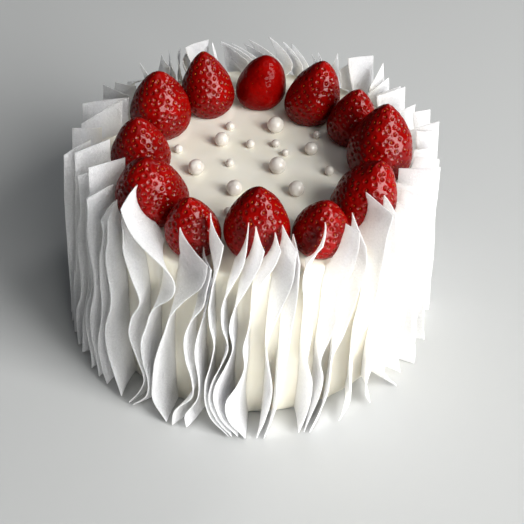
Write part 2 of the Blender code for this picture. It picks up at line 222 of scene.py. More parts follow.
class NodeSheet:
    """A material's or a group's nodes, added and joined by short calls."""

    def __init__(self, tree: bpy.types.NodeTree) -> None:
        """Start with a tree's own nodes."""
        self.tree = tree

    def add(self, kind: str, **values: object) -> bpy.types.Node:
        """Add a node.

        Args:
            kind: the node's type, without its ShaderNode prefix.
            values: settings of the node, or defaults of its inputs, by name with _ for a space.

        Returns:
            The new node.
        """
        node = self.tree.nodes.new(f"ShaderNode{kind}")
        for name, value in values.items():
            if hasattr(node, name):
                setattr(node, name, value)
            else:
                set_inputs(node, **{name: value})
        return node

    def attribute(self, name: str) -> bpy.types.NodeSocket:
        """Read a number that is stored on the mesh."""
        return self.add("Attribute", attribute_name=name).outputs["Fac"]

    def join(self, source: bpy.types.NodeSocket, target: bpy.types.NodeSocket) -> None:
        """Link an output to an input."""
        self.tree.links.new(source, target)

    def blend(self, mask: bpy.types.NodeSocket, low: object, high: object) -> bpy.types.NodeSocket:
        """Mix two colours by a mask.

        Args:
            mask: the output that says how much of the second colour shows.
            low: the first colour, or an output that gives it.
            high: the second colour, or an output that gives it.

        Returns:
            The mixed colour's output.
        """
        # A colour mix reads sockets 6 and 7 and answers at socket 2
        mix = self.add("Mix", data_type="RGBA")
        self.join(mask, mix.inputs[0])
        for socket, colour in ((mix.inputs[6], low), (mix.inputs[7], high)):
            if isinstance(colour, bpy.types.NodeSocket):
                self.join(colour, socket)
            else:
                socket.default_value = (*colour, 1.0)
        return mix.outputs[2]

    def spread(self, value: bpy.types.NodeSocket, low: float, high: float,
               start: float, end: float) -> bpy.types.NodeSocket:
        """Map a value from one range to another, held at its ends.

        Args:
            value: the output that is read.
            low: where its range starts.
            high: where its range ends.
            start: what the low end becomes.
            end: what the high end becomes.

        Returns:
            The mapped value's output.
        """
        node = self.add("MapRange", From_Min=low, From_Max=high, To_Min=start, To_Max=end)
        self.join(value, node.inputs["Value"])
        return node.outputs["Result"]


def new_group(name: str, inputs: dict[str, float], outputs: Sequence[str]) -> bpy.types.NodeTree:
    """Make an empty shader group with its sockets.

    Args:
        name: the group's name.
        inputs: names and defaults of its number inputs.
        outputs: names of its number outputs.

    Returns:
        The group's tree.
    """
    group = bpy.data.node_groups.new(name, "ShaderNodeTree")
    for label, default in inputs.items():
        socket = group.interface.new_socket(label, in_out="INPUT", socket_type="NodeSocketFloat")
        socket.default_value = default
    for label in outputs:
        group.interface.new_socket(label, in_out="OUTPUT", socket_type="NodeSocketFloat")
    return group


def mottle_group() -> bpy.types.NodeTree:
    """Build the soft cloudy mask that every finish uses.

    Returns:
        A group with inputs Scale, Low and High and output Mask.
    """
    group = new_group("cloudy_mask", {"Scale": 40.0, "Low": 0.35, "High": 0.65}, ("Mask",))
    sheet = NodeSheet(group)
    start = group.nodes.new("NodeGroupInput")
    end = group.nodes.new("NodeGroupOutput")
    place = sheet.add("TexCoord")
    cloud = sheet.add("TexNoise", Detail=4.0, Roughness=0.55)
    sheet.join(place.outputs["Object"], cloud.inputs["Vector"])
    sheet.join(start.outputs["Scale"], cloud.inputs["Scale"])
    reach = sheet.add("MapRange")
    sheet.join(cloud.outputs["Fac"], reach.inputs["Value"])
    sheet.join(start.outputs["Low"], reach.inputs["From Min"])
    sheet.join(start.outputs["High"], reach.inputs["From Max"])
    sheet.join(reach.outputs["Result"], end.inputs["Mask"])
    return group


def relief_group() -> bpy.types.NodeTree:
    """Build the fine two-scale relief that every finish uses.

    Returns:
        A group with inputs Coarse, Fine and Share and output Height.
    """
    group = new_group("fine_relief", {"Coarse": 200.0, "Fine": 900.0, "Share": 0.4}, ("Height",))
    sheet = NodeSheet(group)
    start = group.nodes.new("NodeGroupInput")
    end = group.nodes.new("NodeGroupOutput")
    place = sheet.add("TexCoord")
    heights = []
    for label in ("Coarse", "Fine"):
        grain = sheet.add("TexNoise", Detail=3.0, Roughness=0.5)
        sheet.join(place.outputs["Object"], grain.inputs["Vector"])
        sheet.join(start.outputs[label], grain.inputs["Scale"])
        heights.append(grain.outputs["Fac"])
    # A number mix reads sockets 2 and 3 and answers at socket 0
    mix = sheet.add("Mix", data_type="FLOAT")
    sheet.join(start.outputs["Share"], mix.inputs[0])
    sheet.join(heights[0], mix.inputs[2])
    sheet.join(heights[1], mix.inputs[3])
    sheet.join(mix.outputs[0], end.inputs["Height"])
    return group


@dataclass(frozen=True)
class Effects:
    """The shader groups that the finishes share."""

    mottle: bpy.types.NodeTree
    relief: bpy.types.NodeTree


@dataclass(frozen=True)
class Finish:
    """A finish with a cloudy two-tone colour and a fine relief."""

    name: str
    light: Colour
    dark: Colour
    roughness: float
    cloud_scale: float = 40.0
    coarse: float = 200.0
    fine: float = 900.0
    fine_share: float = 0.4
    bump: float = 0.1
    bump_depth: float = 0.0002
    coat: float = 0.0
    coat_roughness: float = 0.1
    glow: float = 0.0
    glow_radius: Colour = (0.001, 0.001, 0.001)
    specular: float = 0.5

    def start(self, effects: Effects) -> tuple[bpy.types.Material, NodeSheet, bpy.types.Node]:
        """Make the material with its relief and its plain settings.

        Args:
            effects: the shader groups that the finishes share.

        Returns:
            The material, its sheet of nodes and its Principled shader.
        """
        material, shader = new_material(
            self.name, Roughness=self.roughness, Specular_IOR_Level=self.specular,
            Coat_Weight=self.coat, Coat_Roughness=self.coat_roughness,
            Subsurface_Weight=self.glow, Subsurface_Radius=self.glow_radius, Subsurface_Scale=1.0)
        sheet = NodeSheet(material.node_tree)
        relief = sheet.add(
            "Group", node_tree=effects.relief, Coarse=self.coarse, Fine=self.fine, Share=self.fine_share)
        bump = sheet.add("Bump", Strength=self.bump, Distance=self.bump_depth)
        sheet.join(relief.outputs["Height"], bump.inputs["Height"])
        sheet.join(bump.outputs["Normal"], shader.inputs["Normal"])
        return material, sheet, shader

    def tint(self, effects: Effects, sheet: NodeSheet) -> bpy.types.NodeSocket:
        """Mix the finish's two tones by the cloudy mask.

        Args:
            effects: the shader groups that the finishes share.
            sheet: the material's nodes.

        Returns:
            The mixed colour's output.
        """
        cloud = sheet.add("Group", node_tree=effects.mottle, Scale=self.cloud_scale)
        return sheet.blend(cloud.outputs["Mask"], self.dark, self.light)

    def build(self, effects: Effects) -> bpy.types.Material:
        """Make the plain two-tone material.

        Args:
            effects: the shader groups that the finishes share.

        Returns:
            The material.
        """
        material, sheet, shader = self.start(effects)
        sheet.join(self.tint(effects, sheet), shader.inputs["Base Color"])
        return material


@dataclass(frozen=True)
class WaferFinish(Finish):
    """White wafer paper, tinted warm towards the frosting, partly by cream soaked into it and partly by
    painted bounce light from the frosting, and with a painted highlight along its outer edge.
    """

    # Tint near the frosting: partly cream soaked into the paper, partly painted warm bounce light from the
    # frosting
    soak_and_bounce: Colour = (0.95, 0.91, 0.78)
    # Painted highlight colour along the strip's outer edge
    edge: Colour = (0.97, 0.97, 0.96)
    soak_and_bounce_share: float = 0.85
    soak_and_bounce_reach: float = 0.6
    edge_highlight_share: float = 0.8
    edge_highlight_start: float = 0.975

    def build(self, effects: Effects) -> bpy.types.Material:
        """Make the paper, which reads its place across the strip from an attribute.

        Args:
            effects: the shader groups that the finishes share.

        Returns:
            The material.
        """
        material, sheet, shader = self.start(effects)
        across = sheet.attribute("across")
        paper = self.tint(effects, sheet)
        # Warm tint towards the frosting: partly cream soaked into the paper, partly painted bounce light
        # from the frosting
        soak_and_bounce_mask = sheet.spread(across, 0.0, self.soak_and_bounce_reach, self.soak_and_bounce_share, 0.0)
        soaked_and_lit_paper = sheet.blend(soak_and_bounce_mask, paper, self.soak_and_bounce)
        # Painted highlight: the outermost part of the strip is lightened where its edge catches the light
        rim = sheet.spread(across, self.edge_highlight_start, 1.0, 0.0, self.edge_highlight_share)
        sheet.join(sheet.blend(rim, soaked_and_lit_paper, self.edge), shader.inputs["Base Color"])
        return material


@dataclass(frozen=True)
class BerryFinish(Finish):
    """Glossy strawberry skin, with painted shade in its pits, and darker at its base."""

    # Painted shade colour in the pits
    pit: Colour = (0.07, 0.0004, 0.0006)
    base: Colour = (0.16, 0.001, 0.001)
    shine: Colour = (1.0, 0.62, 0.62)
    pit_shade_share: float = 0.8
    pit_shade_start: float = 0.1
    base_share: float = 0.6
    base_reach: float = 0.35

    def build(self, effects: Effects) -> bpy.types.Material:
        """Make the skin, which reads its pits, height and gloss from attributes.

        Args:
            effects: the shader groups that the finishes share.

        Returns:
            The material.
        """
        material, sheet, shader = self.start(effects)
        set_inputs(shader, Specular_Tint=(*self.shine, 1.0))
        coat = sheet.spread(sheet.attribute("gloss"), 0.0, 1.0, 0.0, self.coat)
        sheet.join(coat, shader.inputs["Coat Weight"])
        skin = self.tint(effects, sheet)
        low = sheet.spread(sheet.attribute("share"), 0.0, self.base_reach, self.base_share, 0.0)
        skin = sheet.blend(low, skin, self.base)
        # Painted shade: the skin darkens in its pits, by the pit attribute
        pit_shade_mask = sheet.spread(sheet.attribute("pit"), self.pit_shade_start, 1.0, 0.0, self.pit_shade_share)
        sheet.join(sheet.blend(pit_shade_mask, skin, self.pit), shader.inputs["Base Color"])
        return material


FROSTING = Finish(
    name="ivory_frosting", light=(0.90, 0.865, 0.765), dark=(0.82, 0.785, 0.665), roughness=0.42,
    cloud_scale=26.0, coarse=120.0, fine=700.0, bump=0.12, bump_depth=0.0003,
    coat=0.1, coat_roughness=0.3, glow=0.3, glow_radius=(0.004, 0.0035, 0.0028), specular=0.4)
PEARL = Finish(
    name="sugar_pearl", light=(0.80, 0.76, 0.69), dark=(0.66, 0.60, 0.53), roughness=0.30,
    cloud_scale=260.0, coarse=500.0, fine=1800.0, bump=0.15, bump_depth=0.0002,
    coat=0.9, coat_roughness=0.14)
WAFER = WaferFinish(
    name="wafer_paper", light=(0.98, 0.98, 0.995), dark=(0.90, 0.90, 0.915), roughness=0.75,
    cloud_scale=950.0, coarse=800.0, fine=2000.0, bump=1.0, bump_depth=0.0006,
    glow=1.0, glow_radius=(0.005, 0.005, 0.0048), specular=0.12)
BERRY = BerryFinish(
    name="strawberry_skin", light=(0.25, 0.0016, 0.0008), dark=(0.14, 0.0006, 0.0005), roughness=0.35,
    cloud_scale=90.0, coarse=450.0, fine=1500.0, bump=0.10, bump_depth=0.0002,
    coat=0.45, coat_roughness=0.07, specular=0.02)
SEED = Finish(
    name="strawberry_seed", light=(0.50, 0.12, 0.010), dark=(0.24, 0.018, 0.003), roughness=0.5,
    cloud_scale=260.0, coarse=900.0, fine=2400.0, bump=0.1, bump_depth=0.0001, specular=0.1)


@dataclass(frozen=True)
class BerrySize:
    """One strawberry: its base's centre, size and lean in millimetres, and shares of its unevenness."""

    x: float
    y: float
    width: float
    height: float
    lean_x: float
    lean_y: float
    bluntness: float
    pits: float = 1.0
    lumps: float = 1.0


# The strawberries, clockwise from the left
BERRIES = (
    BerrySize(-47.5, 24.4, 30.3, 33.7, -0.3, -0.3, 0.72),
    BerrySize(-24.7, 42.7, 26.9, 33.2, -2.6, 1.8, 0.85),
    BerrySize(1.0, 51.1, 25.9, 27.7, 3.3, -0.9, 0.60, 0.3, 0.8),
    BerrySize(26.8, 39.5, 27.4, 32.5, 5.7, 1.1, 0.75),
    BerrySize(47.1, 22.3, 24.4, 28.3, 2.5, 0.5, 0.75),
    BerrySize(59.7, -3.5, 31.6, 38.2, 1.5, 2.0, 0.85, 1.0, 1.7),
    BerrySize(49.4, -37.1, 30.0, 32.6, 6.9, -0.9, 0.75, 1.1, 1.9),
    BerrySize(30.8, -58.9, 25.6, 26.6, 1.6, -1.0, 0.72),
    BerrySize(2.8, -61.3, 29.5, 33.9, 0.3, 0.2, 0.75),
    BerrySize(-25.2, -61.9, 25.3, 28.6, -1.7, -1.2, 0.78),
    BerrySize(-45.1, -39.8, 33.3, 32.5, -2.3, -2.5, 0.70),
    BerrySize(-53.7, -9.9, 27.9, 30.7, -0.9, -0.4, 0.70),
)

# Each pearl's x, y and width in millimetres
PEARLS = (
    (9.8, 26.1, 8.4), (-16.6, 13.2, 7.2), (27.7, 8.7, 6.7), (11.3, -6.4, 8.4),
    (-27.8, -9.9, 8.0), (-8.7, -24.3, 7.8), (20.5, -23.1, 7.8), (-13.0, 25.9, 4.5),
    (-2.3, 11.9, 4.4), (10.1, 13.1, 4.2), (15.0, 6.2, 3.7), (-37.5, 5.8, 4.4),
    (-11.8, -3.6, 4.1), (30.6, 21.4, 4.2), (36.4, -7.2, 4.8), (-11.0, -39.6, 4.1),
)


@dataclass
class FrostedCore:
    """The frosted cake: an ivory drum with a soft rim and a slightly uneven side."""

    radius: float = 80.0
    height: float = CAKE_HEIGHT
    rim: float = 2.0
    foot: float = 1.0
    around: int = 420
    corner_steps: int = 6
    ring_step: float = 1.6
    side_step: float = 2.2
    merge_gap: float = 0.005
    level_margin: float = 0.01
    axis_margin: float = 1.0
    wobble: float = 0.35
    wobble_length: float = 24.0
    top_scale: float = 1.3
    top_share: float = 0.5
    top_settle: float = 0.3
    top_fade: float = 8.0
    side_stretch: float = 0.5
    side_settle: float = 0.1
    side_fade: float = 5.0
    ridge: float = 0.6
    ridge_angle: float = 3.0
    ridge_fall: float = 1.4
    collar: float = 0.55
    collar_reach: float = 3.0
    collar_fall: float = 2.0
    collar_inset: float = 0.78
    pearl_collar: float = 0.3
    pearl_collar_fall: float = 1.6
    pearl_collar_inset: float = 0.5

    def profile(self) -> list[tuple[float, float]]:
        """List the outline's points, from the top's centre to the foot's centre.

        Returns:
            Each point's distance from the axis and height, in millimetres.
        """
        points = []
        flat = self.radius - self.rim
        rings = round(flat / self.ring_step)
        points += [(flat * ring / rings, self.height) for ring in range(rings)]
        for step in range(self.corner_steps + 1):
            turn = math.pi / 2 * step / self.corner_steps
            drop = self.rim * (1.0 - math.cos(turn))
            points.append((flat + self.rim * math.sin(turn), self.height - drop))
        side = self.height - self.rim - self.foot
        rows = round(side / self.side_step)
        points += [(self.radius, self.height - self.rim - side * row / rows) for row in range(1, rows + 1)]
        points += [(self.radius - self.foot, 0.0), (self.radius / 2, 0.0), (0.0, 0.0)]
        return points

    def turned(self) -> bpy.types.Object:
        """Spin the outline round the axis.

        Returns:
            The closed drum.
        """
        outline = [(x * MM, 0.0, z * MM) for x, z in self.profile()]
        mesh = bpy.data.meshes.new("frosting_drum")
        mesh.from_pydata(outline, [(i, i + 1) for i in range(len(outline) - 1)], [])
        piece = new_object("frosting_drum", mesh)
        make_active(piece)
        bpy.ops.object.mode_set(mode="EDIT")
        bpy.ops.mesh.select_all(action="SELECT")
        bpy.ops.mesh.spin(
            steps=self.around, angle=2.0 * math.pi, center=(0.0, 0.0, 0.0), axis=(0.0, 0.0, 1.0))
        bpy.ops.mesh.select_all(action="SELECT")
        bpy.ops.mesh.remove_doubles(threshold=self.merge_gap * MM)
        bpy.ops.mesh.normals_make_consistent(inside=False)
        bpy.ops.object.mode_set(mode="OBJECT")
        return piece

    def lift(self, x: float, y: float) -> float:
        """Find how far the cream rises where it meets a strawberry or a pearl.

        Args:
            x: place across the cake.
            y: place towards its back.

        Returns:
            The rise in millimetres.
        """
        rise = 0.0
        for berry in BERRIES:
            gap = math.hypot(x - berry.x, y - berry.y) - berry.width / 2 * self.collar_inset
            fall = max(gap, 0.0) ** 2 / self.collar_reach ** 2 * self.collar_fall
            rise = max(rise, self.collar * math.exp(-fall))
        for pearl_x, pearl_y, wide in PEARLS:
            gap = math.hypot(x - pearl_x, y - pearl_y) - wide / 2 * self.pearl_collar_inset
            rise = max(rise, self.pearl_collar * math.exp(-max(gap, 0.0) ** 2 * self.pearl_collar_fall))
        return rise

    def ridge_at(self, azimuth: float) -> float:
        """Find how far the cream stands out along the strip's foot nearest to a direction.

        Args:
            azimuth: the direction in degrees.

        Returns:
            The ridge's height in millimetres.
        """
        height = 0.0
        for plan in STRIPS:
            apart = (azimuth - plan.azimuth + 180.0) % 360.0 - 180.0
            if abs(apart) < self.ridge_angle:
                height = max(height, self.ridge * math.exp(-(apart * self.ridge_fall) ** 2))
        return height

    def uneven(self, piece: bpy.types.Object) -> None:
        """Press the spatula's slight waves and the cream's collars into the drum.

        Args:
            piece: the drum.
        """
        points = read_points(piece.data) / MM
        for number, (x, y, z) in enumerate(points):
            spot = Vector((x, y, z)) / self.wobble_length
            away = math.hypot(x, y)
            if z > self.height - self.level_margin and away < self.radius - self.rim:
                settle = noise.noise(spot * self.top_scale) * self.wobble * self.top_share
                settle -= self.wobble * self.top_settle
                inward = ease((self.radius - away) / self.top_fade)
                points[number][2] = z + settle * inward + self.lift(x, y)
            elif z > self.foot and away > self.axis_margin:
                ridge = self.ridge_at(math.degrees(math.atan2(y, x)))
                wave = noise.noise(Vector((spot.x, spot.y, spot.z * self.side_stretch))) * self.wobble
                push = wave + ridge - self.side_settle
                push *= ease((self.height - z) / self.side_fade)
                points[number][0] = x * (1.0 + push / away)
                points[number][1] = y * (1.0 + push / away)
        write_points(piece.data, points * MM)

    def build(self, material: bpy.types.Material) -> None:
        """Build and dress the drum.

        Args:
            material: the frosting.
        """
        piece = self.turned()
        self.uneven(piece)
        piece.data.shade_smooth()
        dress(piece, material)
        hand_over(piece, ("frosted_core",))


@dataclass
class PearlScatter:
    """Sugar pearls, slightly sunk in the cream."""

    top: float = CAKE_HEIGHT
    sunk: float = 0.10
    segments: int = 40
    rings: int = 24
    dent: float = 0.05
    dent_scale: float = 1.7
    dent_level: float = 0.4

    def pearl(self, x: float, y: float, wide: float) -> bpy.types.Object:
        """Model one slightly uneven pearl where it sits.

        Args:
            x: place across the cake.
            y: place towards its back.
            wide: the pearl's width.

        Returns:
            The pearl.
        """
        centre = Vector((x, y, self.top + wide * (0.5 - self.sunk)))
        piece = new_sphere(self.segments, self.rings)
        points = read_points(piece.data)
        for number, point in enumerate(points):
            way = Vector(point)
            rough = noise.noise(way * self.dent_scale + centre) * self.dent
            points[number] = (centre + way * (wide / 2) * (1.0 + rough - self.dent * self.dent_level)) * MM
        write_points(piece.data, points)
        return piece

    def build(self, material: bpy.types.Material) -> None:
        """Build and dress all the pearls as one piece.

        Args:
            material: the sugar coat.
        """
        piece = join_all([self.pearl(*row) for row in PEARLS], "sugar_pearls")
        piece.data.shade_smooth()
        dress(piece, material)
        hand_over(piece, ("frosted_core",))


@dataclass(frozen=True)
class Seed:
    """Where a seed sits: its place in millimetres and the directions outwards and towards the tip."""

    place: Vector
    normal: Vector
    towards: Vector


@dataclass
class Strawberry:
    """One whole strawberry with pits and seeds."""

    number: int
    size: BerrySize
    floor: float = CAKE_HEIGHT + 0.1
    widest: float = 0.28
    base_taper: float = 0.3
    base_power: float = 2.2
    tip_power: float = 1.75
    lean_power: float = 1.3
    segments: int = 150
    rings: int = 110
    seed_draw: int = 500
    seed_bands: int = 400
    seed_spacing: float = 3.25
    seed_jitter: float = 0.75
    seed_shares: tuple[float, float] = (0.03, 0.985)
    least_turn_radius: float = 2.0
    pit_depth: float = 0.55
    pit_reach: float = 1.05
    pit_fall: float = 1.6
    pit_rim: float = 0.14
    rim_place: float = 1.35
    rim_width: float = 0.35
    lump: float = 0.45
    lump_scale: float = 9.0
    lump_shift: float = 7.3
    probe: float = 0.004
    end_margin: float = 1e-4
    least_normal: float = 1e-9
    tip_probe: float = 0.01
    tip_limit: float = 0.999

    def radius(self, share: float) -> float:
        """Find the skin's radius at a height.

        Args:
            share: the height as a share of the whole.

        Returns:
            The radius in millimetres.
        """
        half = self.size.width / 2
        if share <= 0.0 or share >= 1.0:
            return 0.0
        if share < self.widest:
            below = (self.widest - share) / self.widest
            return half * (1.0 - self.base_taper * below ** self.base_power)
        above = (share - self.widest) / (1.0 - self.widest)
        return half * (1.0 - above ** self.tip_power) ** self.size.bluntness

    def surface(self, share: float, around: float) -> Vector:
        """Find a point of the smooth skin.

        Args:
            share: the height as a share of the whole.
            around: the angle round the axis.

        Returns:
            The point in millimetres.
        """
        bend = max(share, 0.0) ** self.lean_power
        radius = self.radius(share)
        return Vector((
            self.size.x + self.size.lean_x * bend + radius * math.cos(around),
            self.size.y + self.size.lean_y * bend + radius * math.sin(around),
            self.floor + share * self.size.height,
        ))

    def outward(self, share: float, around: float) -> Vector:
        """Find the direction away from the smooth skin.

        Args:
            share: the height as a share of the whole.
            around: the angle round the axis.

        Returns:
            The direction, one unit long.
        """
        low = max(share - self.probe, self.end_margin)
        high = min(share + self.probe, 1.0 - self.end_margin)
        up = self.surface(high, around) - self.surface(low, around)
        side = self.surface(share, around + self.probe) - self.surface(share, around - self.probe)
        normal = side.cross(up)
        return normal.normalized() if normal.length > self.least_normal else Vector((0.0, 0.0, 1.0))

    def lumps(self, point: Vector) -> float:
        """Slow unevenness of the skin at a point, in millimetres."""
        spot = point / self.lump_scale + Vector((self.number * self.lump_shift, 0.0, 0.0))
        return noise.noise(spot) * self.lump * self.size.lumps

    def seeds(self) -> list[Seed]:
        """Lay the seeds along a golden-angle spiral of even density.

        Returns:
            The seeds.
        """
        draw = random.Random(self.seed_draw + self.number)
        steps = self.seed_bands
        shares = [(step + 0.5) / steps for step in range(steps)]
        bands = []
        for share in shares:
            upper = self.surface(min(share + 0.5 / steps, 1.0 - self.end_margin), 0.0)
            lower = self.surface(max(share - 0.5 / steps, self.end_margin), 0.0)
            bands.append(2.0 * math.pi * self.radius(share) * (upper - lower).length)
        area = np.cumsum(bands)
        count = int(area[-1] / self.seed_spacing ** 2)
        found = []
        for index in range(count):
            share = float(np.interp((index + 0.5) / count * area[-1], area, shares))
            if not self.seed_shares[0] < share < self.seed_shares[1]:
                continue
            share += draw.uniform(-1.0, 1.0) * self.seed_jitter / self.size.height
            stray = draw.uniform(-1.0, 1.0) * self.seed_jitter
            around = index * GOLDEN_ANGLE + stray / max(self.radius(share), self.least_turn_radius)
            place = self.surface(share, around)
            normal = self.outward(share, around)
            above = self.surface(min(share + self.tip_probe, self.tip_limit), around)
            towards = (above - place).normalized()
            found.append(Seed(place + normal * self.lumps(place), normal, towards))
        return found

    def skin(self, seeds: Sequence[Seed]) -> bpy.types.Object:
        """Shape a sphere to the skin and press the pits into it.

        Args:
            seeds: the seeds.

        Returns:
            The skin, with its pit, share and gloss attributes.
        """
        piece = new_sphere(self.segments, self.rings)
        rename(piece, f"strawberry_skin_{self.number:02d}")
        tree = kdtree.KDTree(len(seeds))
        for index, seed in enumerate(seeds):
            tree.insert(seed.place, index)
        tree.balance()
        points = read_points(piece.data)
        pits = np.zeros(len(points))
        shares = np.zeros(len(points))
        for number, (x, y, z) in enumerate(points):
            share = math.acos(max(-1.0, min(1.0, -z))) / math.pi
            around = math.atan2(y, x)
            place = self.surface(share, around)
            normal = self.outward(share, around)
            place += normal * self.lumps(place)
            _, _, away = tree.find(place)
            pit = math.exp(-(away / self.pit_reach) ** 2 * self.pit_fall)
            rim = math.exp(-((away - self.pit_reach * self.rim_place) / self.rim_width) ** 2)
            place += normal * (self.pit_rim * rim - self.pit_depth * pit) * self.size.pits
            points[number] = place * MM
            pits[number] = pit * min(self.size.pits, 1.0)
            shares[number] = share
        write_points(piece.data, points)
        # The pit attribute masks the painted shade in the pits, weaker on the smoother berries
        write_attribute(piece.data, "pit", pits)
        write_attribute(piece.data, "share", shares)
        write_attribute(piece.data, "gloss", np.full(len(points), min(self.size.pits, 1.0)))
        piece.data.shade_smooth()
        return piece

    def build(self, material: bpy.types.Material) -> list[Seed]:
        """Build and dress the skin.

        Args:
            material: the skin's finish.

        Returns:
            Its seeds.
        """
        seeds = self.seeds()
        piece = self.skin(seeds)
        dress(piece, material)
        hand_over(piece, (f"strawberry_{self.number:02d}",))
        return seeds


@dataclass
class SeedCoat:
    """All the strawberries' seeds as one piece."""

    length: float = 0.78
    width: float = 0.42
    depth: float = 0.45
    sunk: float = 0.38
    segments: int = 7
    rings: int = 5
    point_width: float = 0.75
    belly: float = 0.5
    belly_top: float = 1.2
    spread: float = 0.3
    twist: float = 0.25
    draw_seed: int = 77

    def template(self) -> tuple[np.ndarray, list[list[int]]]:
        """Model one seed, pointed at its lower end.

        Returns:
            Its points and faces, one unit long.
        """
        piece = new_sphere(self.segments, self.rings, 0.5)
        points = read_points(piece.data)
        narrow = self.point_width + self.belly * (points[:, 2] + 0.5) * (self.belly_top - points[:, 2])
        points[:, 0] *= narrow
        points[:, 1] *= narrow
        faces = [list(face.vertices) for face in piece.data.polygons]
        bpy.data.objects.remove(piece, do_unlink=True)
        return points, faces

    def build(self, seeds: Sequence[Seed], material: bpy.types.Material) -> None:
        """Copy the seed to every place.

        Args:
            seeds: where they sit.
            material: the seed's finish.
        """
        draw = random.Random(self.draw_seed)
        points, faces = self.template()
        every_point = []
        every_face = []
        for index, seed in enumerate(seeds):
            grow = 1.0 + draw.uniform(-self.spread, self.spread)
            side = seed.towards.cross(seed.normal).normalized()
            turn = Matrix((side, seed.normal, seed.towards)).transposed()
            turn = turn @ Matrix.Rotation(draw.uniform(-self.twist, self.twist), 3, "Y")
            scaled = points * np.array((self.width, self.depth, self.length)) * grow
            placed = scaled @ np.array(turn).T + np.array(seed.place - seed.normal * self.sunk)
            every_point.append(placed)
            every_face += [[corner + index * len(points) for corner in face] for face in faces]
        mesh = bpy.data.meshes.new("strawberry_seeds")
        mesh.from_pydata((np.concatenate(every_point) * MM).tolist(), [], every_face)
        piece = new_object("strawberry_seeds", mesh)
        piece.data.shade_smooth()
        dress(piece, material)
        hand_over(piece)


@dataclass(frozen=True)
class WaveEdge:
    """An outer edge that waves evenly, swings over near its head and flares at its foot."""

    size: float
    crest: float
    swing: float
    swing_height: float
    turn: float = 0.0
    flare: float = 0.0


@dataclass(frozen=True)
class DrawnEdge:
    """An outer edge given by its azimuths at even steps of height."""

    azimuths: tuple[float, ...]


@dataclass(frozen=True)
class StripPlan:
    """One paper strip: angles in degrees and heights and lengths in millimetres."""

    azimuth: float
    root_swing: float
    head: float
    tilt: float
    edge: WaveEdge | DrawnEdge
    width: float = 17.5
    reach: float = 0.0
    foot_reach: float = 0.0


@dataclass(frozen=True)
class BetweenPlan:
    """One more sheet between a strip and its next: shares of that gap, and lengths in millimetres."""

    after: int
    foot_share: float
    head_share: float
    wave: float
    crest: float
    head: float
    tilt: float
    width: float
    reach: float
    foot_reach: float = 0.0


